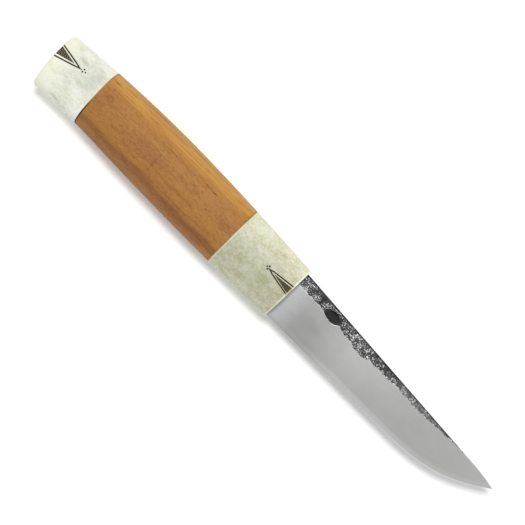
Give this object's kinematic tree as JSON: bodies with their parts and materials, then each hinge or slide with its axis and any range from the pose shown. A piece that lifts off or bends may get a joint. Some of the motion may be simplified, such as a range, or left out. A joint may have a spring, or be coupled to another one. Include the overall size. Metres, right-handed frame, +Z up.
{
  "type": "puukko knife",
  "caption": "Nordic fixed-blade belt knife: forged hidden-tang blade, waxed wooden grip, antler ferrule and pommel with engraved arrowheads.",
  "frame": {"origin": "under the middle of the bounding box, on the surface that the knife lies on", "axes": "+X from the butt to the tip, +Y from the cutting edge to the spine, +Z up through the thickness: the knife lies on its left side with its right side up"},
  "size_m": [0.2106, 0.0252, 0.0197],
  "materials": {
    "steel": "forged carbon steel: satin ground sides, black forge scale left along the spine",
    "antler": "polished reindeer antler, cream with faint grey-green mottling",
    "wood": "fine-grained golden brown wood, oiled and waxed",
    "fibre": "thin dark vulcanised fibre liner",
    "resin": "amber bedding resin, hidden inside the handle",
    "pigment": "dark brown pigment rubbed into the engraving"
  },
  "bodies": {
    "root": {"blade": "steel", "front_ferrule": "antler", "front_liner": "fibre", "wood_grip": "wood", "rear_liner": "fibre", "pommel": "antler", "tang_bedding": "resin", "ferrule_chevron_right": "pigment", "ferrule_core_right": "pigment", "ferrule_chevron_left": "pigment", "ferrule_core_left": "pigment", "pommel_chevron_right": "pigment", "pommel_core_right": "pigment", "pommel_chevron_left": "pigment", "pommel_core_left": "pigment"}
  },
  "joints": []
}
